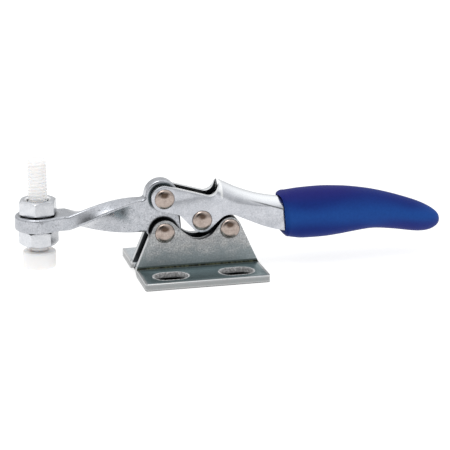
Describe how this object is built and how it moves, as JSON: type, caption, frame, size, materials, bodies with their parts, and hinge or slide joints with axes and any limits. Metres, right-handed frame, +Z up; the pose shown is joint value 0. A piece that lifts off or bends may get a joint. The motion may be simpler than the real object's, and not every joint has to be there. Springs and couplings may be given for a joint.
{
  "type": "toggle clamp",
  "caption": "Small horizontal-handle toggle clamp of folded sheet with a twisted bar arm, an adjustable plastic spindle and a soft grip.",
  "frame": {"origin": "centre of the four slots, on the underside of the base", "axes": "+X towards the grip, +Z up out of the base, -Y towards the front plates"},
  "size_m": [0.091, 0.0262, 0.0256],
  "materials": {
    "zinc_sheet": "bright zinc plate on pressed sheet",
    "zinc_bar": "bright zinc plate on flat bar",
    "zinc_handle": "bright zinc plate on folded sheet",
    "rivet_steel": "plain pressed rivet head",
    "zinc_nut": "bright zinc plate",
    "white_nylon": "natural white nylon",
    "blue_vinyl": "soft satin vinyl"
  },
  "bodies": {
    "base": {"base_plate_front": "zinc_sheet", "base_plate_rear": "zinc_sheet", "arm_pivot_rivet": "rivet_steel", "link_pivot_rivet": "rivet_steel"},
    "arm": {"clamp_arm": "zinc_bar"},
    "handle": {"handle": "zinc_handle", "grip": "blue_vinyl", "handle_arm_rivet": "rivet_steel", "handle_link_rivet": "rivet_steel"},
    "links": {"link_front": "zinc_sheet", "link_rear": "zinc_sheet"},
    "spindle": {"spindle": "white_nylon"},
    "upper_nut": {"upper_nut": "zinc_nut"},
    "lower_nut": {"lower_nut": "zinc_nut"}
  },
  "joints": [
    {"name": "arm_swing", "type": "hinge", "parent": "base", "child": "arm", "pos_m": [-0.00687, 0, 0.009], "axis": [0, 1, 0], "range_deg": [0, 80]},
    {"name": "handle_swing", "type": "hinge", "parent": "arm", "child": "handle", "pos_m": [-0.00687, 0, 0.01615], "axis": [0, -1, 0], "range_deg": [0, 150]},
    {"name": "link_swing", "type": "hinge", "parent": "base", "child": "links", "pos_m": [0.00687, 0, 0.009], "axis": [0, 1, 0], "range_deg": [0, 80]},
    {"name": "spindle_height", "type": "slide", "parent": "arm", "child": "spindle", "axis": [0, 0, 1], "range_m": [-0.0075, 0.0012]},
    {"name": "upper_nut_turn", "type": "hinge", "parent": "arm", "child": "upper_nut", "pos_m": [-0.0323, 0, 0.01555], "axis": [0, 0, 1], "continuous": true},
    {"name": "lower_nut_turn", "type": "hinge", "parent": "arm", "child": "lower_nut", "pos_m": [-0.0323, 0, 0.00935], "axis": [0, 0, 1], "continuous": true}
  ],
  "couplings": [
    {"joint": "handle_swing", "follows": "arm_swing", "ratio": 1.875},
    {"joint": "link_swing", "follows": "arm_swing", "ratio": 1}
  ]
}
